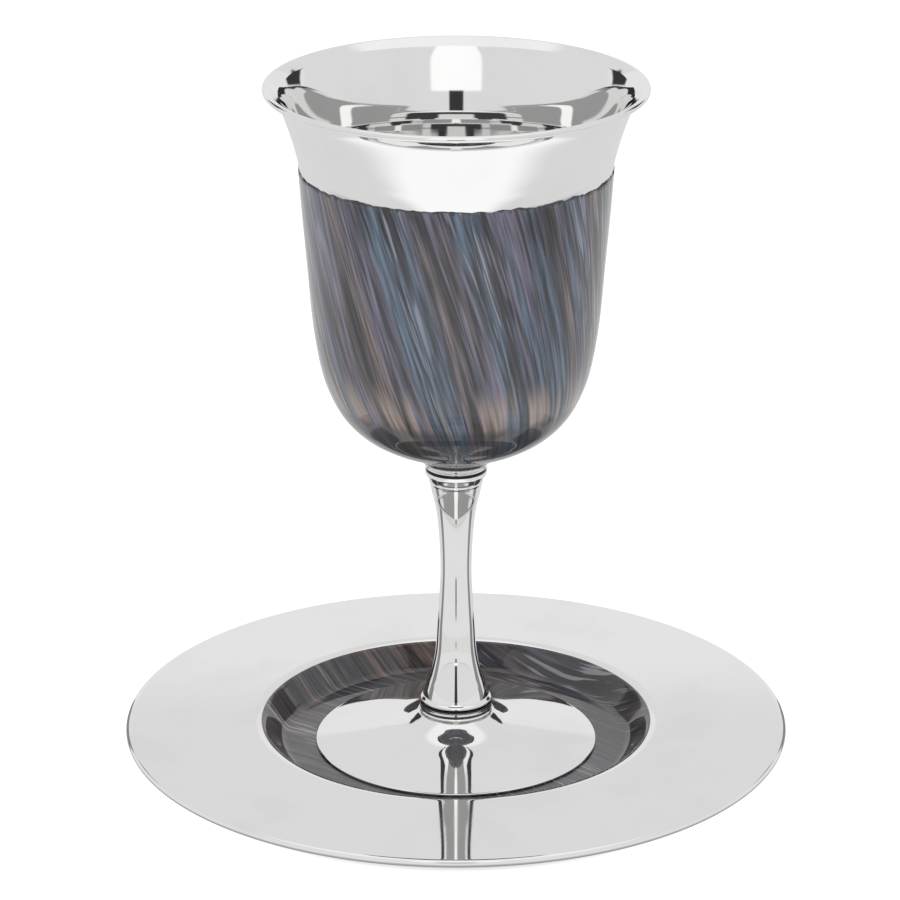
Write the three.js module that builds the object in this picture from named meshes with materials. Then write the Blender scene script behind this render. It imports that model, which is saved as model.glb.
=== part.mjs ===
// Stemmed kiddush cup standing in its round saucer, both of mirror-polished
// metal with a streaked enamel coat on the bowl and in the saucer's well.
// Millimetres, +Z up. The origin is the centre of the saucer's flat underside
// and every piece is a turned form about the Z axis.

import * as THREE from "three";

// ---- Driving dimensions -------------------------------------------------

const COAT = 0.2; // thickness of the enamel

// Saucer
const SAUCER_RADIUS = 75;
const RIM_TOP = 6.8; // height of the rim beside the well
const RIM_DROP = 0.4; // how much the rim falls towards its edge
const RIM_THICKNESS = 1.8;
const WELL_RADIUS = 45.8; // where the rim starts to turn down into the well
const FLOOR_TOP = 1.0; // bare metal of the well's floor
const WALL_SLOPE = 50; // degrees, lean of the well's wall
const BREAK_RADIUS = 3.5; // rounding between rim and wall
const COVE_RADIUS = 3.0; // rounding between wall and floor
const COAT_START = 117; // degrees round the break where the enamel begins

// Foot
const FOOT_RADIUS = 32;
const FOOT_THICKNESS = 1.0;
const NECK_TOP = RIM_TOP + 1.5;

// Collar and stem
const COLLAR_RADIUS = 8.25;
const COLLAR_HEIGHT = 2.7;
const STEM_BASE = NECK_TOP + COLLAR_HEIGHT;
const STEM_TOP = RIM_TOP + 61.0;

// Bowl
const BOWL_WALL = 1.2;
const LIP_RADIUS = 0.75; // rounded bead of the mouth
const LIP_CENTRE_R = 41.1;
const LIP_CENTRE_Z = RIM_TOP + 147.5;

// Facets round each turned piece
const SAUCER_FACETS = 54;
const BOWL_FACETS = 42;
const FOOT_FACETS = 38;
const STEM_FACETS = 20;

// ---- Finishes -----------------------------------------------------------

function polishedMetal() {
  return new THREE.MeshStandardMaterial({ color: "#dcdcda", metalness: 1.0, roughness: 0.06 });
}

function streakedEnamel() {
  return new THREE.MeshStandardMaterial({ color: "#62646d", metalness: 0.0, roughness: 0.12 });
}

// ---- Profile helpers ----------------------------------------------------

const RAD = Math.PI / 180;

function at(r, z) {
  return new THREE.Vector2(r, z);
}

/** Points round an arc, angles in degrees from +r towards +z. */
function arc(centreR, centreZ, radius, fromDeg, toDeg, steps) {
  const points = [];
  for (let i = 0; i <= steps; i += 1) {
    const a = (fromDeg + ((toDeg - fromDeg) * i) / steps) * RAD;
    points.push(at(centreR + radius * Math.cos(a), centreZ + radius * Math.sin(a)));
  }
  return points;
}

/** A smooth curve through a few hand-set points, each given above the rim. */
function throughPoints(pairs, stepsPerSpan) {
  const knots = pairs.map(([r, z]) => at(r, RIM_TOP + z));
  return new THREE.SplineCurve(knots).getPoints(stepsPerSpan * (knots.length - 1));
}

/** The curve moved sideways to the right of its direction of travel. */
function offset(points, distance) {
  return points.map((point, i) => {
    const before = points[Math.max(i - 1, 0)];
    const after = points[Math.min(i + 1, points.length - 1)];
    const way = after.clone().sub(before).normalize();
    return at(point.x + way.y * distance, point.y - way.x * distance);
  });
}

/** One solid turned about +Z from a profile that ends on the axis or closes. */
function turned(name, profile, facets, material) {
  const geometry = new THREE.LatheGeometry(profile, facets);
  geometry.rotateX(Math.PI / 2);
  const mesh = new THREE.Mesh(geometry, material);
  mesh.name = name;
  return mesh;
}

// ---- Saucer -------------------------------------------------------------

/** Where the straight wall meets the cove fixes how far the floor reaches. */
function floorRadius() {
  const turn = (90 + WALL_SLOPE) * RAD;
  const wallTopR = WELL_RADIUS + BREAK_RADIUS * Math.cos(turn);
  const wallTopZ = RIM_TOP - BREAK_RADIUS + BREAK_RADIUS * Math.sin(turn);
  const lean = (WALL_SLOPE - 90) * RAD;
  const wallFootZ = FLOOR_TOP + COVE_RADIUS + COVE_RADIUS * Math.sin(lean);
  const run = (wallTopZ - wallFootZ) / Math.tan(WALL_SLOPE * RAD);
  return wallTopR - run - COVE_RADIUS * Math.cos(lean);
}

/** The enamelled part of the well from the floor's edge up to the break. */
function wellCurve(lift) {
  const coveZ = FLOOR_TOP + COVE_RADIUS;
  const cove = arc(floorRadius(), coveZ, COVE_RADIUS - lift, -90, WALL_SLOPE - 90, 3);
  const turnZ = RIM_TOP - BREAK_RADIUS;
  const turn = arc(WELL_RADIUS, turnZ, BREAK_RADIUS + lift, 90 + WALL_SLOPE, COAT_START, 1);
  return [...cove, ...turn];
}

function rimEdge() {
  const half = RIM_THICKNESS / 2;
  return arc(SAUCER_RADIUS - half, RIM_TOP - RIM_DROP - half, half, -90, 90, 4);
}

/** The underside follows the well at about the rim's thickness. */
function saucerUnderside() {
  const wallTop = at(WELL_RADIUS - 1.9, RIM_TOP - RIM_THICKNESS - 0.75);
  const wallFootR = wallTop.x - wallTop.y / Math.tan(WALL_SLOPE * RAD);
  return [
    at(0, 0),
    at(wallFootR - 1.2, 0),
    at(wallFootR - 0.1, 0.2),
    at(wallFootR + 0.9, 0.9),
    wallTop,
    at(WELL_RADIUS + 0.6, RIM_TOP - RIM_THICKNESS),
  ];
}

function saucer() {
  const breakStart = arc(WELL_RADIUS, RIM_TOP - BREAK_RADIUS, BREAK_RADIUS, 90, 102, 1);
  const well = wellCurve(0).reverse();
  const profile = [...saucerUnderside(), ...rimEdge(), ...breakStart, ...well, at(0, FLOOR_TOP)];
  return turned("saucer", profile, SAUCER_FACETS, polishedMetal());
}

function saucerEnamel() {
  const under = wellCurve(0);
  const over = wellCurve(COAT).slice(0, -1).reverse();
  const profile = [at(0, FLOOR_TOP), ...under, ...over, at(0, FLOOR_TOP + COAT)];
  return turned("saucer_enamel", profile, SAUCER_FACETS, streakedEnamel());
}

// ---- Foot, collar and stem ----------------------------------------------

/** Upper face of the foot: a low cone outside, sweeping up to the collar. */
function footTop() {
  return throughPoints([
    [8.6, 1.5],
    [9.9, 0.4],
    [11.8, -0.85],
    [14.5, -1.9],
    [18.5, -2.75],
    [23.0, -3.6],
    [27.5, -4.35],
    [31.5, -4.95],
  ], 1);
}

function foot() {
  const top = footTop();
  const ground = FLOOR_TOP + COAT;
  const under = offset(top, FOOT_THICKNESS).filter((p) => p.y > ground + 0.1);
  const profile = [
    at(0, NECK_TOP - FOOT_THICKNESS),
    ...under,
    at(FOOT_RADIUS - 3, ground),
    at(FOOT_RADIUS - 0.4, ground),
    at(FOOT_RADIUS, ground + 0.35),
    ...top.reverse(),
    at(0, NECK_TOP),
  ];
  return turned("foot", profile, FOOT_FACETS, polishedMetal());
}

/** Short band with a bead at its top and bottom and a slight waist between. */
function collar() {
  const bead = 0.35;
  const waist = COLLAR_RADIUS - 0.25;
  const profile = [
    at(0, NECK_TOP),
    at(COLLAR_RADIUS - bead, NECK_TOP),
    at(COLLAR_RADIUS, NECK_TOP + bead),
    at(COLLAR_RADIUS - 0.1, NECK_TOP + 2 * bead),
    at(waist, NECK_TOP + COLLAR_HEIGHT / 2),
    at(COLLAR_RADIUS - 0.1, STEM_BASE - 2 * bead),
    at(COLLAR_RADIUS, STEM_BASE - bead),
    at(COLLAR_RADIUS - bead, STEM_BASE),
    at(0, STEM_BASE),
  ];
  return turned("collar", profile, STEM_FACETS, polishedMetal());
}

/** Waisted stem that ends in a small ring under the bowl. */
function stem() {
  const side = throughPoints([
    [7.9, 4.2],
    [8.05, 4.7],
    [7.4, 5.5],
    [6.85, 7.5],
    [5.7, 11.3],
    [4.7, 16.0],
    [4.3, 22.0],
    [3.8, 29.0],
    [3.5, 36.0],
    [3.8, 44.0],
    [4.5, 50.5],
    [5.4, 54.5],
    [6.0, 57.2],
    [6.85, 59.0],
    [6.8, 60.5],
  ], 1);
  const profile = [at(0, STEM_BASE), ...side, at(6.5, STEM_TOP), at(0, STEM_TOP)];
  return turned("stem", profile, STEM_FACETS, polishedMetal());
}

// ---- Bowl ---------------------------------------------------------------

/** Bare metal outside of the bowl that the enamel covers, neck to band top. */
function coatedSide() {
  return throughPoints([
    [7.2, 61.9],
    [9.4, 63.7],
    [12.4, 65.2],
    [16.9, 67.2],
    [21.4, 70.1],
    [25.1, 74.0],
    [27.8, 79.0],
    [29.7, 85.0],
    [31.3, 95.0],
    [32.4, 108.0],
    [33.4, 120.0],
    [34.1, 129.8],
  ], 1);
}

/** Flaring metal above the enamel up to the rolled bead of the mouth. */
function flare() {
  return throughPoints([
    [34.9, 134.0],
    [36.2, 138.5],
    [38.2, 144.0],
  ], 1);
}

/** Inside of the bowl from the mouth down to the middle of the bottom. */
function bowlInside() {
  const low = coatedSide().filter((_, i) => i % 2 === 1).slice(1);
  const wall = offset([...low, ...flare()], -BOWL_WALL).reverse();
  return [...wall, at(0, RIM_TOP + 63.8)];
}

function lip() {
  return arc(LIP_CENTRE_R, LIP_CENTRE_Z, LIP_RADIUS, -135, 135, 6);
}

function bowl() {
  const profile = [
    at(0, STEM_TOP),
    at(6.5, STEM_TOP),
    ...coatedSide(),
    ...flare(),
    ...lip(),
    ...bowlInside(),
  ];
  return turned("bowl", profile, BOWL_FACETS, polishedMetal());
}

function bowlEnamel() {
  const metal = coatedSide();
  const outer = offset(metal, COAT).slice(1);
  const profile = [...outer, ...metal.reverse(), outer[0]];
  return turned("bowl_enamel", profile, BOWL_FACETS, streakedEnamel());
}

// ---- The whole piece ----------------------------------------------------

const group = new THREE.Group();
group.name = "kiddush_cup";
group.add(saucer(), saucerEnamel(), foot(), collar(), stem(), bowl(), bowlEnamel());

export default group;
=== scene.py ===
"""A stemmed kiddush cup standing in its round saucer, dressed for the studio.

Every piece is turned about the Z axis of the CAD model's own frame, with +Z up.
The pieces' sizes are in millimetres, the studio's in metres.
"""

import logging
import math
from dataclasses import dataclass
from enum import Enum

import bpy
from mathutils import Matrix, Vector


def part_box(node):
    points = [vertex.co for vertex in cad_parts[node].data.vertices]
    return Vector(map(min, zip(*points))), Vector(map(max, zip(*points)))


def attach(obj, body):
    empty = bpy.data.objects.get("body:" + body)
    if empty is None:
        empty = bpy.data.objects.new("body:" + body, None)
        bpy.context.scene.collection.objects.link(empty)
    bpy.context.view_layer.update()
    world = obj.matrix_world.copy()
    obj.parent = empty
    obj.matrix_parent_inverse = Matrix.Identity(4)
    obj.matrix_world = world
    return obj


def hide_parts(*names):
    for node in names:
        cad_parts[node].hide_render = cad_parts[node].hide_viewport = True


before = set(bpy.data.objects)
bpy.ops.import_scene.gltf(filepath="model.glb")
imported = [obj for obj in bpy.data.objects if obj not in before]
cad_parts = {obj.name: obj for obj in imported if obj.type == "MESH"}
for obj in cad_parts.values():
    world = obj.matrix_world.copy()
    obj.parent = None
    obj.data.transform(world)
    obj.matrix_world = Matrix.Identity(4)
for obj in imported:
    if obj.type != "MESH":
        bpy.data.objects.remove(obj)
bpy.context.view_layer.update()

LOG = logging.getLogger("kiddush_cup")
MM = 0.001
TURN = 2.0 * math.pi

Point = tuple[float, float]
Colour = tuple[float, float, float]
Span = tuple[float, float]
Reach = tuple[float, float, float]

# Seams over the collar and under the bowl, dull and darkened by painted reflection: heights above
# the saucer's rim, in millimetres.
COLLAR_SEAM_REFLECTION: Span = (3.8, 4.4)
BOWL_SEAM_REFLECTION: Span = (59.85, 60.55)


class Slot(Enum):
    """Material slots of the record."""

    METAL = "polished_metal"
    ENAMEL = "enamel"


# ---------------------------------------------------------------------------
# Profiles
# ---------------------------------------------------------------------------


def arc(centre: Point, radius: float, start: float, end: float, steps: int) -> list[Point]:
    """Points round an arc in the (radius, height) plane.

    Args:
        centre: middle of the arc.
        radius: radius of the arc.
        start: first angle in degrees, from outwards towards up.
        end: last angle in degrees.
        steps: number of spans.

    Returns:
        steps + 1 points.
    """
    angles = (math.radians(start + (end - start) * i / steps) for i in range(steps + 1))
    return [(centre[0] + radius * math.cos(a), centre[1] + radius * math.sin(a)) for a in angles]


def smooth_curve(knots: list[Point], steps: int) -> list[Point]:
    """A Catmull-Rom curve through the knots.

    Args:
        knots: points that the curve passes through.
        steps: number of spans between two knots.

    Returns:
        The sampled curve, both ends included.
    """
    curve = []
    last = len(knots) - 1
    for i in range(last):
        a, b = knots[max(i - 1, 0)], knots[i]
        c, d = knots[i + 1], knots[min(i + 2, last)]
        for step in range(steps):
            t = step / steps
            curve.append(tuple(_catmull_rom(a[k], b[k], c[k], d[k], t) for k in (0, 1)))
    return [*curve, knots[-1]]


def _catmull_rom(a: float, b: float, c: float, d: float, t: float) -> float:
    """One coordinate of a Catmull-Rom span at t from 0 to 1."""
    return 0.5 * (
        2 * b + (c - a) * t + (2 * a - 5 * b + 4 * c - d) * t**2 + (3 * b - a - 3 * c + d) * t**3
    )


def bulge(
    centre: Point, across: float, up: float, start: float, end: float, steps: int = 8
) -> list[Point]:
    """Points round part of an ellipse in the (radius, height) plane.

    Args:
        centre: middle of the ellipse.
        across: its half width.
        up: its half height.
        start: first angle in degrees.
        end: last angle in degrees.
        steps: number of spans.

    Returns:
        steps + 1 points.
    """
    angles = (math.radians(start + (end - start) * i / steps) for i in range(steps + 1))
    return [(centre[0] + across * math.cos(a), centre[1] + up * math.sin(a)) for a in angles]


def beside(curve: list[Point], distance: float) -> list[Point]:
    """The curve moved sideways, to the right of its direction of travel.

    Args:
        curve: points in order.
        distance: how far it is moved.

    Returns:
        As many points as the curve has.
    """
    moved = []
    for i, (r, z) in enumerate(curve):
        before, after = curve[max(i - 1, 0)], curve[min(i + 1, len(curve) - 1)]
        run, rise = after[0] - before[0], after[1] - before[1]
        length = math.hypot(run, rise)
        moved.append((r + rise / length * distance, z - run / length * distance))
    return moved


# ---------------------------------------------------------------------------
# Modelling
# ---------------------------------------------------------------------------


def deselect_all() -> None:
    """Leaves nothing selected, so that an operator acts on the new piece alone."""
    if bpy.context.mode != "OBJECT":
        bpy.ops.object.mode_set(mode="OBJECT")
    bpy.ops.object.select_all(action="DESELECT")


def turned(name: str, profile: list[Point], steps: int) -> bpy.types.Object:
    """Spins a profile about the Z axis into one closed, smooth solid.

    Args:
        name: name of the piece.
        profile: (radius, height) points in millimetres that end on the axis or
            come back to the first one.
        steps: number of spans round the axis.

    Returns:
        The piece, its object at the origin.
    """
    deselect_all()
    start = profile[0]
    bpy.ops.mesh.primitive_plane_add(size=MM, location=(start[0] * MM, 0.0, start[1] * MM))
    piece = bpy.context.active_object
    piece.name = piece.data.name = name
    bpy.ops.object.mode_set(mode="EDIT")
    bpy.ops.mesh.select_all(action="SELECT")
    bpy.ops.mesh.merge(type="CENTER")
    for before, after in zip(profile, profile[1:]):
        way = ((after[0] - before[0]) * MM, 0.0, (after[1] - before[1]) * MM)
        bpy.ops.mesh.extrude_region_move(TRANSFORM_OT_translate={"value": way})
    bpy.ops.mesh.select_all(action="SELECT")
    bpy.ops.mesh.spin(steps=steps, angle=TURN, center=(0, 0, 0), axis=(0, 0, 1))
    bpy.ops.mesh.select_all(action="SELECT")
    bpy.ops.mesh.remove_doubles(threshold=0.001 * MM)
    bpy.ops.mesh.normals_make_consistent(inside=False)
    bpy.ops.object.mode_set(mode="OBJECT")
    bpy.ops.object.transform_apply(location=True, rotation=True, scale=True)
    bpy.ops.object.shade_smooth()
    return piece


def edge_group(piece: bpy.types.Object, name: str, low: float, high: float) -> None:
    """Collects the points between two heights in a vertex group.

    Args:
        piece: the piece.
        name: name of the group.
        low: lowest height, in millimetres.
        high: highest height, in millimetres.
    """
    group = piece.vertex_groups.new(name=name)
    near = [v.index for v in piece.data.vertices if low * MM <= v.co.z <= high * MM]
    group.add(near, 1.0, "REPLACE")


def waver(piece: bpy.types.Object, group: str, strength: float, grain: float) -> None:
    """Lets the heights of a vertex group wander a little, as a hand-laid edge does.

    Args:
        piece: the piece.
        group: the vertex group that moves.
        strength: full range of the movement, in millimetres.
        grain: size of the waves, in millimetres.
    """
    texture = bpy.data.textures.new(f"{piece.name}_waver", "CLOUDS")
    texture.noise_scale = grain * MM
    texture.noise_depth = 2
    deselect_all()
    piece.select_set(True)
    bpy.context.view_layer.objects.active = piece
    bpy.ops.object.modifier_add(type="DISPLACE")
    shift = piece.modifiers[-1]
    shift.texture = texture
    shift.direction = "Z"
    shift.vertex_group = group
    shift.strength = strength * MM
    shift.mid_level = 0.5
    bpy.ops.object.modifier_apply(modifier=shift.name)


# ---------------------------------------------------------------------------
# Finishes
# ---------------------------------------------------------------------------


class Graph:
    """Adds shader nodes to a tree and wires them; a value is a socket or a constant."""

    def __init__(self, tree: bpy.types.NodeTree) -> None:
        """Works on one node tree."""
        self.tree = tree

    def add(self, kind: str, **settings: object) -> bpy.types.Node:
        """Adds a node and sets its properties.

        Args:
            kind: type name of the node.
            **settings: the node's properties by name.

        Returns:
            The node.
        """
        node = self.tree.nodes.new(kind)
        for name, value in settings.items():
            setattr(node, name, value)
        return node

    def feed(self, socket: bpy.types.NodeSocket, value: object) -> None:
        """Links a socket to an output, or sets its own value.

        Args:
            socket: the input.
            value: an output, or the number, triple or colour that is set.
        """
        if isinstance(value, bpy.types.NodeSocket):
            self.tree.links.new(value, socket)
        else:
            socket.default_value = value

    def fill(self, node: bpy.types.Node, *values: object) -> bpy.types.Node:
        """Feeds a node's inputs in order.

        Args:
            node: the node.
            *values: what goes into its first inputs.

        Returns:
            The same node.
        """
        for socket, value in zip(node.inputs, values):
            self.feed(socket, value)
        return node

    def math(self, operation: str, *values: object) -> bpy.types.NodeSocket:
        """The result of one Math node."""
        return self.fill(self.add("ShaderNodeMath", operation=operation), *values).outputs[0]

    def vector(self, operation: str, *values: object) -> bpy.types.NodeSocket:
        """The result of one Vector Math node, a number for a length."""
        node = self.fill(self.add("ShaderNodeVectorMath", operation=operation), *values)
        return node.outputs["Value" if operation == "LENGTH" else "Vector"]

    def split(self, value: object) -> list[bpy.types.NodeSocket]:
        """The three parts of a vector."""
        return list(self.fill(self.add("ShaderNodeSeparateXYZ"), value).outputs)

    def join(self, *values: object) -> bpy.types.NodeSocket:
        """A vector out of three parts."""
        return self.fill(self.add("ShaderNodeCombineXYZ"), *values).outputs[0]

    def noise(self, at: object, scale: float, detail: float = 2.0) -> bpy.types.NodeSocket:
        """The factor of a Noise Texture.

        Args:
            at: the vector that it reads.
            scale: waves per unit of that vector.
            detail: number of finer layers.

        Returns:
            A socket from 0 to 1, mostly near 0.5.
        """
        node = self.add("ShaderNodeTexNoise")
        for name, value in (("Vector", at), ("Scale", scale), ("Detail", detail)):
            self.feed(node.inputs[name], value)
        return node.outputs["Fac"]

    def band(self, value: object, low: float, high: float) -> bpy.types.NodeSocket:
        """Goes smoothly from 0 at low to 1 at high, which may be the smaller number."""
        node = self.add("ShaderNodeMapRange", interpolation_type="SMOOTHSTEP")
        return self.fill(node, value, low, high).outputs[0]

    def window(self, value: object, low: float, high: float, soft: float) -> bpy.types.NodeSocket:
        """1 between two limits and 0 outside them.

        Args:
            value: what is tested.
            low: lower limit.
            high: upper limit.
            soft: width of the soft edge outside each limit.

        Returns:
            A socket from 0 to 1.
        """
        rise = self.band(value, low - soft, low)
        fall = self.band(value, high + soft, high)
        return self.math("MULTIPLY", rise, fall)

    def blend(self, factor: object, first: object, second: object) -> bpy.types.NodeSocket:
        """Mixes two numbers.

        Args:
            factor: 0 gives the first, 1 the second.
            first: a number or socket.
            second: a number or socket.

        Returns:
            The mixed number.
        """
        node = self.add("ShaderNodeMix", data_type="FLOAT")
        for socket, value in zip((node.inputs[0], *node.inputs[2:4]), (factor, first, second)):
            self.feed(socket, value)
        return node.outputs[0]

    def mix(self, factor: object, first: object, second: object) -> bpy.types.NodeSocket:
        """Mixes two colours.

        Args:
            factor: 0 gives the first, 1 the second.
            first: a colour or socket.
            second: a colour or socket.

        Returns:
            The mixed colour.
        """
        node = self.add("ShaderNodeMix", data_type="RGBA")
        self.feed(node.inputs[0], factor)
        for socket, value in zip(node.inputs[6:8], (first, second)):
            self.feed(socket, (*value, 1.0) if isinstance(value, tuple) else value)
        return node.outputs[2]

    def tint(self, colour: object, factor: object) -> bpy.types.NodeSocket:
        """A colour made lighter or darker.

        Args:
            colour: a colour or socket.
            factor: what each of its parts is multiplied by.

        Returns:
            The new colour.
        """
        node = self.add("ShaderNodeVectorMath", operation="SCALE")
        self.feed(node.inputs[0], colour)
        self.feed(node.inputs["Scale"], factor)
        return node.outputs[0]


def new_material(name: str) -> tuple[bpy.types.Material, Graph, bpy.types.Node]:
    """An empty material.

    Args:
        name: its name.

    Returns:
        The material, its graph and its Principled shader.
    """
    material = bpy.data.materials.new(name)
    material.use_nodes = True
    graph = Graph(material.node_tree)
    return material, graph, material.node_tree.nodes["Principled BSDF"]


@dataclass(frozen=True)
class StreakScales:
    """Noise scales of the laid streaks, in waves per metre across them."""

    sway: float = 150.0
    hue: float = 165.0
    broad: float = 260.0
    middle: float = 620.0
    fine: float = 1700.0
    strand: float = 1250.0
    patch: float = 90.0
    crack: float = 1000.0


def streak_group() -> bpy.types.NodeTree:
    """Long hand-laid streaks of enamel, for coordinates whose Z runs along them.

    Returns:
        The node group, built once and used by both enamels.
    """
    known = bpy.data.node_groups.get("laid_streaks")
    if known:
        return known
    tree = bpy.data.node_groups.new("laid_streaks", "ShaderNodeTree")
    kinds = {"Vector": "Vector", "Shadow": "Color", "Warm": "Color", "Violet": "Color"}
    kinds |= {"Blue": "Color", "Pale": "Color", "Pale share": "Float", "Depth": "Float"}
    for name, kind in kinds.items():
        tree.interface.new_socket(name=name, in_out="INPUT", socket_type=f"NodeSocket{kind}")
    tree.interface.new_socket(name="Color", in_out="OUTPUT", socket_type="NodeSocketColor")
    graph = Graph(tree)
    scales = StreakScales()
    given = graph.add("NodeGroupInput").outputs

    # The streaks wander a little from side to side.
    sway = graph.add("ShaderNodeTexNoise")
    graph.feed(sway.inputs["Vector"], given["Vector"])
    graph.feed(sway.inputs["Scale"], scales.sway)
    centred = graph.vector("SUBTRACT", sway.outputs["Color"], (0.5, 0.5, 0.5))
    moved = graph.vector("MULTIPLY_ADD", centred, (0.0042, 0.0042, 0.0), given["Vector"])
    apart = graph.vector("ADD", moved, (0.31, 0.17, 0.0))

    # Broad runs of one hue, with shadow between some of them.
    hue = graph.noise(apart, scales.hue)
    warm = graph.mix(graph.band(hue, 0.36, 0.43), given["Warm"], given["Violet"])
    body = graph.mix(graph.band(hue, 0.47, 0.55), warm, given["Blue"])
    broad = graph.noise(moved, scales.broad)
    body = graph.mix(graph.band(broad, 0.49, 0.35), body, given["Shadow"])

    # Brush marks, lighter and darker than the run that they are in.
    marks = graph.math("MULTIPLY", graph.noise(moved, scales.fine, 1.0), 1.1)
    marks = graph.math("ADD", graph.noise(apart, scales.middle), marks)
    marks = graph.math("MULTIPLY", graph.math("SUBTRACT", marks, 1.03), given["Depth"])
    body = graph.tint(body, graph.math("MAXIMUM", graph.math("ADD", marks, 1.0), 0.15))

    # Pale strands in places, and fine dark cracks all over.
    strand = graph.noise(graph.vector("ADD", moved, (0.7, 0.2, 0.0)), scales.strand, 1.0)
    patch = graph.band(graph.noise(apart, scales.patch, 1.0), 0.4, 0.6)
    light = graph.math("MULTIPLY", graph.band(strand, 0.56, 0.66), patch)
    body = graph.mix(graph.math("MULTIPLY", light, given["Pale share"]), body, given["Pale"])
    crack = graph.noise(graph.vector("ADD", moved, (0.1, 0.9, 0.0)), scales.crack, 1.0)
    dark = graph.math("MULTIPLY", graph.band(crack, 0.42, 0.32), 0.75)
    body = graph.mix(dark, body, given["Shadow"])
    graph.feed(graph.add("NodeGroupOutput").inputs[0], body)
    return tree


@dataclass(frozen=True)
class PolishedMetal:
    """Mirror plating with faint smears; its joints are dull and darkened by painted reflection;
    heights in millimetres.
    """

    name: str = "mirror_plating"
    colour: Colour = (0.93, 0.93, 0.925)
    roughness: float = 0.03
    smear_scale: float = 60.0
    smear_tint: float = 0.96
    smear_roughness: float = 0.025
    joints: tuple[Span, ...] = ()
    seam_reflection_colour: Colour = (0.03, 0.03, 0.03)
    seam_reflection_soft: float = 0.06

    def material(self) -> bpy.types.Material:
        """Builds the finish.

        Returns:
            The material.
        """
        material, graph, shader = new_material(self.name)
        place = graph.add("ShaderNodeTexCoord").outputs["Object"]
        smear = graph.band(graph.noise(place, self.smear_scale, 4.0), 0.45, 0.75)
        tone = graph.mix(smear, self.colour, tuple(self.smear_tint * c for c in self.colour))
        height = graph.split(place)[2]
        # Each joint band is a dull seam, darkened further by a painted dark reflection.
        for low, high in self.joints:
            seam_reflection = graph.window(height, low * MM, high * MM, self.seam_reflection_soft * MM)
            tone = graph.mix(seam_reflection, tone, self.seam_reflection_colour)
        graph.feed(shader.inputs["Base Color"], tone)
        rough = graph.math("MULTIPLY_ADD", smear, self.smear_roughness, self.roughness)
        graph.feed(shader.inputs["Roughness"], rough)
        shader.inputs["Metallic"].default_value = 1.0
        return material


@dataclass(frozen=True)
class StreakedEnamel:
    """Enamel laid in long streaks under a clear gloss; linear colours."""

    name: str
    shadow: Colour
    warm: Colour
    violet: Colour
    blue: Colour
    pale: Colour = (0.42, 0.42, 0.5)
    pale_share: float = 0.6
    depth: float = 2.8
    roughness: float = 0.4
    gloss_roughness: float = 0.015

    def colours(self) -> tuple[Colour, ...]:
        """The five colours in the order of the group's sockets."""
        return (self.shadow, self.warm, self.violet, self.blue, self.pale)

    def streaks(self, graph: Graph, along: object) -> bpy.types.NodeSocket:
        """Places the shared streaks with this enamel's own colours.

        Args:
            graph: the material's graph.
            along: coordinates whose Z runs along the streaks.

        Returns:
            The colour.
        """
        group = graph.add("ShaderNodeGroup", node_tree=streak_group())
        graph.feed(group.inputs["Vector"], along)
        for socket, colour in zip(("Shadow", "Warm", "Violet", "Blue", "Pale"), self.colours()):
            group.inputs[socket].default_value = (*colour, 1.0)
        group.inputs["Pale share"].default_value = self.pale_share
        group.inputs["Depth"].default_value = self.depth
        return group.outputs["Color"]

    def glaze(self, graph: Graph, shader: bpy.types.Node, colour: object) -> None:
        """Sets the colour under a clear, glossy coat.

        Args:
            graph: the material's graph.
            shader: its Principled shader.
            colour: colour of the enamel.
        """
        graph.feed(shader.inputs["Base Color"], colour)
        shader.inputs["Roughness"].default_value = self.roughness
        shader.inputs["Coat Weight"].default_value = 1.0
        shader.inputs["Coat Roughness"].default_value = self.gloss_roughness


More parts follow.
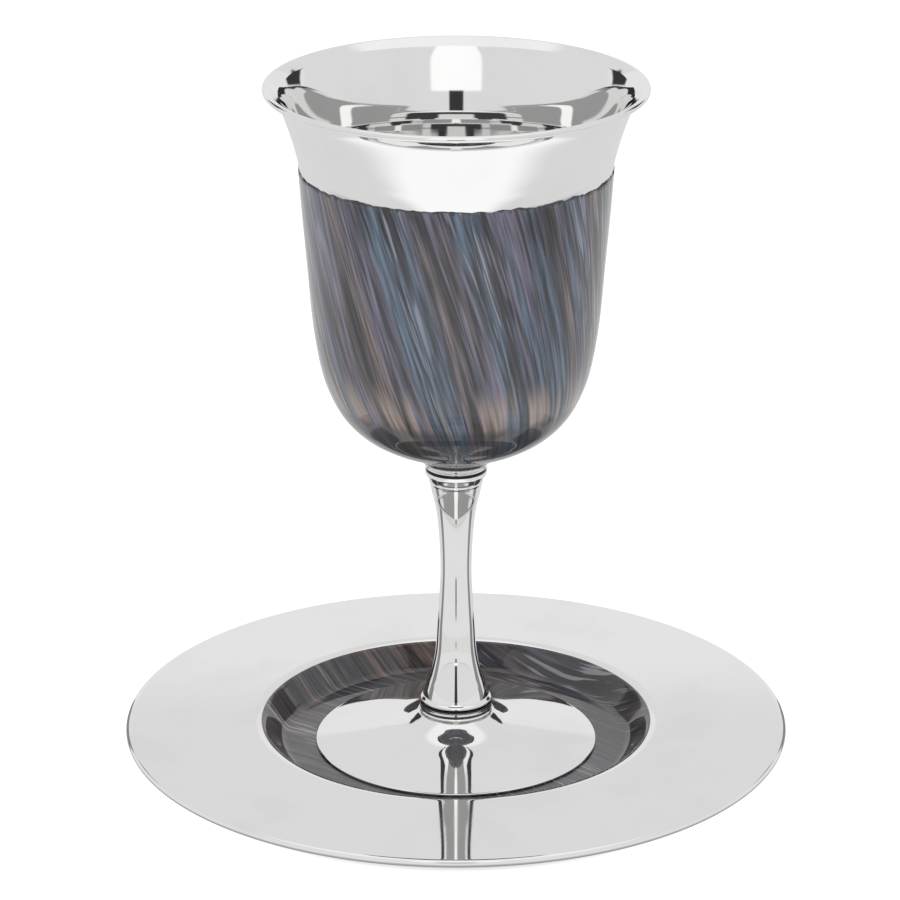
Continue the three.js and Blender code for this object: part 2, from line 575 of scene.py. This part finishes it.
@dataclass(frozen=True)
class BowlEnamel(StreakedEnamel):
    """Streaks that lean as they run down the bowl and meet at its bottom.

    The edge, the bottom and the girth are in metres, the lean is in radians a metre,
    and the spans and the raggedness are in millimetres above the edge or the bottom.
    """

    name: str = "bowl_enamel_glaze"
    shadow: Colour = (0.02, 0.018, 0.026)
    warm: Colour = (0.118, 0.095, 0.095)
    violet: Colour = (0.088, 0.08, 0.118)
    blue: Colour = (0.062, 0.09, 0.132)
    pale_share: float = 0.7
    depth: float = 4.1
    lean: float = 9.25
    girth: float = 0.031
    stretch: float = 0.05
    edge: float = 0.0
    bottom: float = 0.0
    sand: Colour = (0.37, 0.285, 0.24)
    sand_span: Span = (18.0, 20.0)
    sand_soft: float = 8.0
    sand_share: float = 0.75
    # Near the bottom: darker enamel, partly painted shade.
    dark_and_shaded_bottom: Colour = (0.015, 0.014, 0.015)
    dark_and_shaded_bottom_span: Span = (15.0, 17.5)
    dark_and_shaded_bottom_share: float = 0.6
    # Painted shade along the top edge of the band.
    painted_edge_shade: Colour = (0.012, 0.01, 0.012)
    painted_edge_shade_span: Span = (0.95, 1.25)
    painted_edge_shade_share: float = 0.85
    ragged: float = 2.8

    def leaning(self, graph: Graph, place: object) -> bpy.types.NodeSocket:
        """Coordinates round the bowl that turn with the height.

        Args:
            graph: the material's graph.
            place: the place on the piece.

        Returns:
            A vector whose Z runs along the streaks.
        """
        x, y, z = graph.split(place)
        around = graph.vector("NORMALIZE", graph.join(x, y, 0.0))
        turn = graph.add("ShaderNodeVectorRotate", rotation_type="Z_AXIS")
        graph.feed(turn.inputs["Vector"], around)
        graph.feed(turn.inputs["Angle"], graph.math("MULTIPLY", z, self.lean))
        u, v, _ = graph.split(turn.outputs[0])
        wide = [graph.math("MULTIPLY", part, self.girth) for part in (u, v)]
        return graph.join(*wide, graph.math("MULTIPLY", z, self.stretch))

    def sanded(self, graph: Graph, tone: object, along: object, z: object) -> bpy.types.NodeSocket:
        """Lays grained sandy patches near the bottom.

        Args:
            graph: the material's graph.
            tone: the colour so far.
            along: coordinates along the streaks.
            z: the height.

        Returns:
            The new colour.
        """
        low, high = (self.bottom + limit * MM for limit in self.sand_span)
        share = graph.window(z, low, high, self.sand_soft * MM)
        patchy = graph.band(graph.noise(along, 330.0), 0.46, 0.6)
        share = graph.math("MULTIPLY", share, patchy)
        grain = graph.math("MULTIPLY_ADD", graph.noise(along, 1100.0), 2.6, -0.3)
        sand = graph.tint(self.sand, grain)
        return graph.mix(graph.math("MULTIPLY", share, self.sand_share), tone, sand)

    def material(self) -> bpy.types.Material:
        """Builds the finish.

        Returns:
            The material.
        """
        material, graph, shader = new_material(self.name)
        place = graph.add("ShaderNodeTexCoord").outputs["Object"]
        z = graph.split(place)[2]
        along = self.leaning(graph, place)
        tone = self.sanded(graph, self.streaks(graph, along), along, z)
        # Darker towards the bottom: partly darker enamel, partly painted shade where the bowl faces
        # the dark well.
        full, clear = (self.bottom + limit * MM for limit in self.dark_and_shaded_bottom_span)
        dark_and_shaded_bottom = graph.band(z, clear, full)
        tone = graph.mix(graph.math("MULTIPLY", dark_and_shaded_bottom, self.dark_and_shaded_bottom_share), tone, self.dark_and_shaded_bottom)
        # Painted shade: a ragged dark line along the top edge of the band.
        lifted = graph.math("MULTIPLY", graph.noise(place, 800.0), self.ragged * MM)
        start, end = (self.edge + limit * MM for limit in self.painted_edge_shade_span)
        painted_edge_shade = graph.band(graph.math("ADD", z, lifted), start, end)
        tone = graph.mix(graph.math("MULTIPLY", painted_edge_shade, self.painted_edge_shade_share), tone, self.painted_edge_shade)
        self.glaze(graph, shader, tone)
        return material


@dataclass(frozen=True)
class SaucerEnamel(StreakedEnamel):
    """Streaks that run one way across the whole well; the heading is in degrees."""

    name: str = "saucer_enamel_glaze"
    shadow: Colour = (0.006, 0.005, 0.006)
    warm: Colour = (0.08, 0.052, 0.046)
    violet: Colour = (0.044, 0.036, 0.041)
    blue: Colour = (0.027, 0.026, 0.04)
    pale: Colour = (0.36, 0.34, 0.38)
    pale_share: float = 0.75
    depth: float = 4.6
    heading: float = -40.0
    bow: float = 1.6
    stretch: float = 0.06

    def material(self) -> bpy.types.Material:
        """Builds the finish.

        Returns:
            The material.
        """
        material, graph, shader = new_material(self.name)
        turn = graph.add("ShaderNodeMapping")
        graph.feed(turn.inputs["Vector"], graph.add("ShaderNodeTexCoord").outputs["Object"])
        turn.inputs["Rotation"].default_value = (0.0, 0.0, math.radians(-self.heading))
        u, v, _ = graph.split(turn.outputs[0])
        bow = graph.math("MULTIPLY", graph.math("MULTIPLY", u, u), self.bow)
        along = graph.join(graph.math("ADD", v, bow), 0.0, graph.math("MULTIPLY", u, self.stretch))
        self.glaze(graph, shader, self.streaks(graph, along))
        return material


def finish(piece: bpy.types.Object, material: bpy.types.Material, slot: Slot, *nodes: str) -> None:
    """Dresses a piece and ties it to the frame.

    Args:
        piece: the finished mesh.
        material: its only material.
        slot: the record's material slot; not used.
        *nodes: the CAD nodes that it stands for.
    """
    piece.data.materials.clear()
    piece.data.materials.append(material)
    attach(piece, "root")
    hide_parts(*nodes)
    LOG.info("%s: %d faces", piece.name, len(piece.data.polygons))


# ---------------------------------------------------------------------------
# Saucer
# ---------------------------------------------------------------------------


@dataclass
class Saucer:
    """Round saucer with a shallow enamelled well; millimetres, angles in degrees.

    A hold is the distance from a round edge to the ring that keeps the face beside it flat.
    """

    metal: bpy.types.Material
    enamel: bpy.types.Material
    radius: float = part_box("saucer")[1].x / MM
    rim_top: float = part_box("saucer")[1].z / MM
    rim_drop: float = 0.4
    rim_thickness: float = 1.8
    well_radius: float = 45.8
    floor_top: float = 1.0
    wall_slope: float = 50.0
    break_radius: float = 3.5
    cove_radius: float = 3.0
    under_inset: float = 1.9
    under_drop: float = 0.75
    well_hold: float = 0.4
    edge_hold: float = 0.5
    rim_hold: float = 2.0
    coat: float = 0.2
    coat_start: float = 117.0
    spans: int = 256

    def floor_radius(self) -> float:
        """Radius at which the flat floor meets the cove.

        Returns:
            The radius.
        """
        turn = math.radians(90 + self.wall_slope)
        lean = math.radians(self.wall_slope - 90)
        top_r = self.well_radius + self.break_radius * math.cos(turn)
        top_z = self.rim_top - self.break_radius + self.break_radius * math.sin(turn)
        foot_z = self.floor_top + self.cove_radius + self.cove_radius * math.sin(lean)
        run = (top_z - foot_z) / math.tan(math.radians(self.wall_slope))
        return top_r - run - self.cove_radius * math.cos(lean)

    def well(self, lift: float) -> list[Point]:
        """The enamelled surface from the floor's edge to the break of the rim.

        Args:
            lift: how far it stands off the metal.

        Returns:
            Points from the floor outwards.
        """
        cove = (self.floor_radius(), self.floor_top + self.cove_radius)
        turn = (self.well_radius, self.rim_top - self.break_radius)
        low = arc(cove, self.cove_radius - lift, -90, self.wall_slope - 90, 16)
        high = arc(turn, self.break_radius + lift, 90 + self.wall_slope, self.coat_start, 8)
        inner = (low[0][0] - self.well_hold, low[0][1])
        middle = tuple((a + b) / 2 for a, b in zip(low[-1], high[0]))
        return [inner, *low, middle, *high]

    def underside(self) -> list[Point]:
        """Underside of the sheet, from the axis to the rim's edge.

        Returns:
            Points from the axis outwards.
        """
        under = self.rim_top - self.rim_thickness
        wall_top = (self.well_radius - self.under_inset, under - self.under_drop)
        wall_foot = wall_top[0] - wall_top[1] / math.tan(math.radians(self.wall_slope))
        foot_turn = [(wall_foot - 1.2, 0.0), (wall_foot - 0.1, 0.2), (wall_foot + 0.9, 0.9)]
        rim_turn = [(wall_top[0] + 1.1, under - 0.2), (self.well_radius + 0.8, under - 0.01)]
        return [
            (0.0, 0.0),
            (wall_foot - 1.6, 0.0),
            *smooth_curve(foot_turn, 5),
            *smooth_curve([wall_top, *rim_turn], 5),
        ]

    def metal_profile(self) -> list[Point]:
        """Outline of the sheet from the middle of its underside and round.

        Returns:
            Points that start and end on the axis.
        """
        half = self.rim_thickness / 2
        edge = (self.radius - half, self.rim_top - self.rim_drop - half)
        turn = (self.well_radius, self.rim_top - self.break_radius)
        slope = self.rim_drop / (edge[0] - self.well_radius)
        outer, inner = (self.edge_hold, self.rim_hold), (self.rim_hold, self.well_hold)
        return [
            *self.underside(),
            (edge[0] - self.edge_hold, edge[1] - half + 0.005),
            *arc(edge, half, -90, 90, 20),
            *((edge[0] - gap, edge[1] + half + gap * slope) for gap in outer),
            *((self.well_radius + gap, self.rim_top - gap * slope) for gap in inner),
            *arc(turn, self.break_radius, 90, self.coat_start, 8)[:-1],
            *reversed(self.well(0.0)),
            (0.0, self.floor_top),
        ]

    def build(self) -> None:
        """Makes the sheet and its enamel."""
        sheet = turned("saucer_sheet", self.metal_profile(), self.spans)
        finish(sheet, self.metal, Slot.METAL, "saucer")
        over = list(reversed(self.well(self.coat)[:-1]))
        profile = [(0.0, self.floor_top), *self.well(0.0), *over, (0.0, self.floor_top + self.coat)]
        glaze = turned("saucer_glaze", profile, self.spans)
        finish(glaze, self.enamel, Slot.ENAMEL, "saucer_enamel")


# ---------------------------------------------------------------------------
# Foot, collar and stem
# ---------------------------------------------------------------------------


@dataclass
class Foot:
    """Low cone that carries the stem; sizes in millimetres."""

    metal: bpy.types.Material
    radius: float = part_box("foot")[1].x / MM
    ground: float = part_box("foot")[0].z / MM
    neck_top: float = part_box("foot")[1].z / MM
    neck_radius: float = 8.2
    rim_top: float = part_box("saucer")[1].z / MM
    thickness: float = 1.0
    hollow_from: float = 0.15
    seat_width: float = 3.0
    edge_low: float = 0.25
    edge_high: float = 0.4
    spans: int = 192

    def top(self) -> list[Point]:
        """Upper face: a low cone outside, sweeping up to the collar.

        Returns:
            Points from the collar outwards.
        """
        above_rim = [
            (8.6, 1.5), (9.9, 0.4), (11.8, -0.85), (14.5, -1.9), (18.5, -2.75), (23.0, -3.6),
            (27.5, -4.35), (31.5, -4.95),
        ]
        return smooth_curve([(r, z + self.rim_top) for r, z in above_rim], 8)

    def profile(self) -> list[Point]:
        """Outline of the foot from the axis, under it and over it.

        Returns:
            Points that start and end on the axis.
        """
        top = self.top()
        hollow = self.ground + self.hollow_from
        under = [(r, z) for r, z in beside(top, self.thickness) if z > hollow]
        edge = top[-1]
        low = (edge[0], self.ground + self.edge_low)
        high = (edge[0], self.ground + self.edge_high)
        return [
            (0.0, self.neck_top - self.thickness),
            *under,
            (self.radius - self.seat_width, self.ground),
            (edge[0] - 0.3, self.ground),
            *bulge(low, self.radius - edge[0], self.edge_low, -90.0, 0.0),
            *bulge(high, self.radius - edge[0], edge[1] - high[1], 0.0, 90.0)[:-1],
            *reversed(top),
            (self.neck_radius, self.neck_top),
            (0.0, self.neck_top),
        ]

    def build(self) -> None:
        """Makes the foot."""
        finish(turned("foot_cone", self.profile(), self.spans), self.metal, Slot.METAL, "foot")


@dataclass
class Collar:
    """Short beaded ring between foot and stem; sizes in millimetres."""

    metal: bpy.types.Material
    radius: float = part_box("collar")[1].x / MM
    base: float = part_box("collar")[0].z / MM
    top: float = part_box("collar")[1].z / MM
    bead: float = 0.38
    waist: float = 0.25
    bow: float = 0.03
    hold: float = 0.3
    spans: int = 128

    def profile(self) -> list[Point]:
        """Outline of the ring: a bead below, a hollow band and a bead above.

        Returns:
            Points that start and end on the axis.
        """
        low = (self.radius - self.bead, self.base + self.bead)
        high = (self.radius - self.bead, self.top - self.bead)
        hollow = self.radius - self.waist
        middle = (hollow - self.bow, (self.base + self.top) / 2)
        start = (hollow + self.bow, low[1] + self.bead)
        end = (hollow + self.bow, high[1] - self.bead)
        return [
            (0.0, self.base),
            (low[0] - self.hold, self.base),
            *arc(low, self.bead, -90, 60, 12),
            *smooth_curve([start, middle, end], 5),
            *arc(high, self.bead, -60, 90, 12),
            (high[0] - self.hold, self.top),
            (0.0, self.top),
        ]

    def build(self) -> None:
        """Makes the ring."""
        ring = turned("collar_ring", self.profile(), self.spans)
        finish(ring, self.metal, Slot.METAL, "collar")


@dataclass
class Stem:
    """Waisted stem with a small ring under the bowl; sizes in millimetres."""

    metal: bpy.types.Material
    rim_top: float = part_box("saucer")[1].z / MM
    base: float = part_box("stem")[0].z / MM
    top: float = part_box("stem")[1].z / MM
    base_radius: float = 7.3
    crown_radius: float = 6.7
    seat_radius: float = 6.5
    crown_bevel: float = 0.12
    spans: int = 128

    def run(self, above_rim: list[Point], steps: int) -> list[Point]:
        """A smooth stretch through points whose heights are above the saucer's rim."""
        return smooth_curve([(r, z + self.rim_top) for r, z in above_rim], steps)

    def profile(self) -> list[Point]:
        """Outline from the collar to the underside of the bowl.

        Returns:
            Points that start and end on the axis.
        """
        bead = [(7.6, 4.2), (7.95, 4.35), (8.05, 4.65), (7.9, 4.95), (7.55, 5.25)]
        side = [
            (7.35, 5.5), (6.85, 7.5), (5.7, 11.3), (4.7, 16.0), (4.3, 22.0), (3.8, 29.0),
            (3.5, 36.0), (3.8, 44.0), (4.5, 50.5), (5.4, 54.5), (5.75, 56.3),
        ]
        ring = [
            (5.85, 56.7), (6.0, 57.0), (5.98, 57.3), (6.1, 57.7), (6.5, 58.4), (6.8, 58.9),
            (6.86, 59.3), (6.8, 60.5),
        ]
        return [
            (0.0, self.base),
            (self.base_radius, self.base),
            *self.run(bead, 5),
            *self.run(side, 10),
            *self.run(ring, 5),
            (self.crown_radius, self.top - self.crown_bevel),
            (self.seat_radius, self.top),
            (0.0, self.top),
        ]

    def build(self) -> None:
        """Makes the stem."""
        shaft = turned("stem_shaft", self.profile(), self.spans)
        finish(shaft, self.metal, Slot.METAL, "stem")


# ---------------------------------------------------------------------------
# Bowl
# ---------------------------------------------------------------------------


@dataclass
class Bowl:
    """Flared bowl with its enamel band; millimetres, outlines above the saucer's rim."""

    metal: bpy.types.Material
    enamel: bpy.types.Material
    rim_top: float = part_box("saucer")[1].z / MM
    base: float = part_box("bowl")[0].z / MM
    neck_radius: float = 6.5
    neck_hold: float = 6.1
    wall: float = 1.2
    coat: float = 0.2
    lip_radius: float = 0.75
    lip_centre: Point = (41.1, 147.5)
    flare_end: Point = (39.9, 146.6)
    edge_below: float = 0.05
    edge_above: float = 0.3
    waver_range: float = 1.3
    waver_grain: float = 2.5
    spans: int = 256
    coated: tuple[Point, ...] = (
        (7.2, 61.9), (9.4, 63.7), (12.4, 65.2), (16.9, 67.2), (21.4, 70.1), (25.1, 74.0),
        (27.8, 79.0), (29.7, 85.0), (31.3, 95.0), (32.4, 108.0), (33.4, 120.0), (34.1, 129.8),
    )
    flare: tuple[Point, ...] = ((34.9, 134.0), (36.2, 138.5), (38.2, 144.0))
    inner_bottom: tuple[Point, ...] = ((7.0, 64.7), (0.0, 63.8))

    def raised(self, *points: Point) -> list[Point]:
        """Heights above the rim turned into heights above the table."""
        return [(r, z + self.rim_top) for r, z in points]

    def coated_side(self) -> list[Point]:
        """Bare metal under the enamel, from the neck to the top of the band."""
        return smooth_curve(self.raised(*self.coated), 6)

    def bare_flare(self) -> list[Point]:
        """Bare metal from the top of the band to the lip, in the same sweep as the side."""
        knots = self.raised(*self.coated[-2:], *self.flare, self.flare_end)
        return smooth_curve(knots, 10)[11:]

    def lip(self) -> list[Point]:
        """The rounded bead of the mouth, from below the lip to inside it."""
        return arc(self.raised(self.lip_centre)[0], self.lip_radius, -135, 135, 24)

    def inside(self) -> list[Point]:
        """Inner face: the outer wall moved in, from the lip down, and a smooth bottom.

        Returns:
            Points from the lip to the axis.
        """
        outside = [*self.coated_side()[12:], *self.bare_flare()[1:-3]]
        wall = list(reversed(beside(outside, -self.wall)))
        bottom = [wall[-1], *self.raised(*self.inner_bottom)]
        return [*wall, *smooth_curve(bottom, 8)[1:]]

    def build(self) -> None:
        """Makes the metal bowl and its enamel band."""
        side = self.coated_side()
        profile = [
            (0.0, self.base),
            (self.neck_hold, self.base),
            (self.neck_radius, self.base),
            *side,
            *self.bare_flare(),
            *self.lip(),
            *self.inside(),
        ]
        body = turned("bowl_body", profile, self.spans)
        finish(body, self.metal, Slot.METAL, "bowl")
        outer = beside(side, self.coat)[1:]
        glaze = turned("bowl_glaze", [*outer, *reversed(side), outer[0]], self.spans)
        top = side[-1][1]
        edge_group(glaze, "edge", top - self.edge_below, top + self.edge_above)
        waver(glaze, "edge", self.waver_range, self.waver_grain)
        finish(glaze, self.enamel, Slot.ENAMEL, "bowl_enamel")


# ---------------------------------------------------------------------------
# Studio
# ---------------------------------------------------------------------------


@dataclass(frozen=True)
class Panel:
    """One patch of the tent; each reach is low, high and softness in degrees."""

    sides: Reach
    heights: Reach
    level: float

    def cover(self, graph: Graph, way: object, rise: object) -> bpy.types.NodeSocket:
        """1 on the patch and 0 off it.

        Args:
            graph: the world's graph.
            way: degrees round from the back, alike to both sides.
            rise: degrees above level.

        Returns:
            A socket from 0 to 1.
        """
        across = graph.window(way, *self.sides)
        return graph.math("MULTIPLY", across, graph.window(rise, *self.heights))


TENT = (
    Panel((-1.0, 181.0, 1.0), (62.0, 91.0, 8.0), 0.92),
    Panel((163.0, 181.0, 3.0), (19.0, 60.0, 1.5), 1.05),
    Panel((-1.0, 50.0, 10.0), (-5.0, 22.0, 2.0), 0.82),
    Panel((36.0, 50.0, 3.0), (8.0, 26.0, 3.0), 0.04),
    Panel((175.5, 181.0, 1.5), (-7.0, 18.0, 1.0), 0.04),
)

# Flags that show only in reflections of reflections.
INNER_FLAGS = (
    Panel((66.0, 105.0, 8.0), (33.5, 37.0, 1.5), 0.3),
    Panel((34.0, 52.0, 4.0), (6.0, 27.0, 3.0), 0.03),
    Panel((-1.0, 75.0, 6.0), (45.0, 60.0, 3.0), 0.05),
    Panel((30.0, 75.0, 6.0), (26.0, 45.0, 3.0), 0.05),
    Panel((105.0, 168.0, 4.0), (21.0, 78.0, 3.0), 0.34),
)


@dataclass
class Studio:
    """Pale floor, soft surroundings and the camera; metres, angles in degrees.

    Floor and tent have one brightness to the camera and others in the mirror.
    """

    rim_top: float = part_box("saucer")[1].z
    seen_level: float = 1.15
    floor_size: float = 8.0
    floor_level: float = 1.02
    floor_side_level: float = 0.72
    floor_ring_level: float = 0.5
    floor_near_share: float = 0.25
    floor_under_share: float = 0.1
    fence_radius: float = 0.086
    fence_height: float = 0.0165
    fence_back: float = 0.35
    fence_level: float = 0.78
    fence_end_level: float = 0.25
    fence_slit_level: float = 0.08
    tent_level: float = 0.74
    sensor: float = 36.0
    lens: float = 165.44
    far_limit: float = 50.0
    camera_back: float = 0.8617
    camera_height: float = 0.38335
    camera_pitch: float = 20.32
    camera_heading: float = 0.09

    def emitter(self, name: str) -> tuple[bpy.types.Material, Graph, bpy.types.Node]:
        """An empty glowing material.

        Args:
            name: its name.

        Returns:
            The material, its graph and its Emission shader.
        """
        material = bpy.data.materials.new(name)
        material.use_nodes = True
        material.node_tree.nodes.clear()
        graph = Graph(material.node_tree)
        glow = graph.add("ShaderNodeEmission")
        out = graph.add("ShaderNodeOutputMaterial")
        graph.feed(out.inputs["Surface"], glow.outputs[0])
        return material, graph, glow

    def floor(self) -> None:
        """A wide pale table, shaded under the saucer and dimmer round it in reflections."""
        deselect_all()
        bpy.ops.mesh.primitive_plane_add(size=self.floor_size, location=(0.0, 0.0, 0.0))
        plane = bpy.context.active_object
        plane.name = "floor"
        material, graph, glow = self.emitter("floor_glow")
        place = graph.add("ShaderNodeTexCoord").outputs["Object"]
        x, y, _ = graph.split(place)
        reach = graph.vector("LENGTH", place)
        side = graph.band(graph.math("ABSOLUTE", x), 0.09, 0.17)
        side = graph.math("MAXIMUM", side, graph.band(y, 0.0, 0.04))
        bright = graph.blend(side, self.floor_level, self.floor_side_level)
        ring = graph.window(reach, 0.32, 0.4, 0.03)
        ring = graph.math("MULTIPLY", ring, graph.band(y, 0.12, -0.05))
        bright = graph.blend(ring, bright, self.floor_ring_level)
        near = graph.blend(graph.band(reach, 0.068, 0.1), self.floor_near_share, 1.0)
        bright = graph.math("MULTIPLY", bright, near)
        seen = graph.add("ShaderNodeLightPath").outputs["Is Camera Ray"]
        bright = graph.blend(seen, bright, self.seen_level)
        under = graph.blend(graph.band(reach, 0.06, 0.069), self.floor_under_share, 1.0)
        graph.feed(glow.inputs["Strength"], graph.math("MULTIPLY", bright, under))
        plane.data.materials.append(material)

    def fence(self) -> None:
        """A low curved grey card round the front, which only reflections see."""
        deselect_all()
        bpy.ops.mesh.primitive_cylinder_add(
            vertices=96, radius=self.fence_radius, depth=self.fence_height,
            location=(0.0, 0.0, self.fence_height / 2), end_fill_type="NOTHING",
        )
        card = bpy.context.active_object
        card.name = "fence"
        material, graph, glow = self.emitter("fence_glow")
        x, y, z = graph.split(graph.add("ShaderNodeTexCoord").outputs["Object"])
        way = self.degrees_from_back(graph, x, y)
        ends = graph.window(way, 60.0, 88.0, 4.0)
        bright = graph.blend(ends, self.fence_level, self.fence_end_level)
        slit = graph.math("MULTIPLY", graph.band(way, 175.0, 177.5), graph.band(z, 0.002, 0.005))
        graph.feed(glow.inputs["Strength"], graph.blend(slit, bright, self.fence_slit_level))
        card.data.materials.append(material)
        bpy.ops.object.mode_set(mode="EDIT")
        bpy.ops.mesh.select_all(action="SELECT")
        back = (0.0, self.fence_radius * self.fence_back, 0.0)
        bpy.ops.mesh.bisect(plane_co=back, plane_no=(0.0, 1.0, 0.0), clear_outer=True)
        bpy.ops.object.mode_set(mode="OBJECT")
        card.visible_camera = card.visible_diffuse = card.visible_shadow = False

    def degrees_from_back(self, graph: Graph, x: object, y: object) -> bpy.types.NodeSocket:
        """Degrees round from the back, alike to both sides.

        Args:
            graph: the graph that they are worked out in.
            x: how far to the right.
            y: how far to the back.

        Returns:
            A socket from 0 to 180.
        """
        way = graph.math("MULTIPLY", graph.math("ARCTAN2", x, y), 180.0 / math.pi)
        return graph.math("ABSOLUTE", way)

    def surroundings(self) -> None:
        """A soft grey tent with a bright opening overhead and a few dark flags."""
        world = bpy.data.worlds.new("studio")
        bpy.context.scene.world = world
        world.use_nodes = True
        graph = Graph(world.node_tree)
        x, y, z = graph.split(graph.add("ShaderNodeTexCoord").outputs["Generated"])
        rise = graph.math("MULTIPLY", graph.math("ARCSINE", z), 180.0 / math.pi)
        way = self.degrees_from_back(graph, x, y)
        bright = self.tent_level
        for panel in TENT:
            bright = graph.blend(panel.cover(graph, way, rise), bright, panel.level)
        path = graph.add("ShaderNodeLightPath").outputs
        deep = graph.band(path["Glossy Depth"], 1.4, 1.6)
        for panel in INNER_FLAGS:
            cover = graph.math("MULTIPLY", panel.cover(graph, way, rise), deep)
            bright = graph.blend(cover, bright, panel.level)
        bright = graph.blend(path["Is Camera Ray"], bright, self.seen_level)
        back = world.node_tree.nodes["Background"]
        graph.feed(back.inputs["Strength"], bright)
        back.inputs["Color"].default_value = (1.0, 1.0, 1.0, 1.0)

    def camera(self) -> None:
        """A long lens that looks down on the cup."""
        data = bpy.data.cameras.new("camera")
        data.sensor_width = self.sensor
        data.lens = self.lens
        data.clip_end = self.far_limit
        view = bpy.data.objects.new("camera", data)
        bpy.context.scene.collection.objects.link(view)
        view.location = (0.0, -self.camera_back, self.camera_height + self.rim_top)
        pitch, heading = 90.0 - self.camera_pitch, self.camera_heading
        view.rotation_euler = (math.radians(pitch), 0.0, math.radians(heading))
        bpy.context.scene.camera = view

    def build(self) -> None:
        """Sets everything up."""
        self.floor()
        self.fence()
        self.surroundings()
        self.camera()
        bpy.context.scene.view_settings.view_transform = "Standard"


def main() -> None:
    """Builds the cup and its saucer, then the studio round them."""
    logging.basicConfig(level=logging.INFO, format="%(name)s %(message)s")
    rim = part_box("saucer")[1].z / MM
    metal = PolishedMetal().material()
    seam_reflection_spans = tuple((rim + low, rim + high) for low, high in (COLLAR_SEAM_REFLECTION, BOWL_SEAM_REFLECTION))
    seam_reflection_metal = PolishedMetal("mirror_plating_seam_reflections", joints=seam_reflection_spans).material()
    Saucer(metal, SaucerEnamel().material()).build()
    Foot(metal).build()
    Collar(seam_reflection_metal).build()
    Stem(seam_reflection_metal).build()
    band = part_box("bowl_enamel")
    Bowl(metal, BowlEnamel(edge=band[1].z, bottom=band[0].z).material()).build()
    Studio().build()


if __name__ == "__main__":
    main()
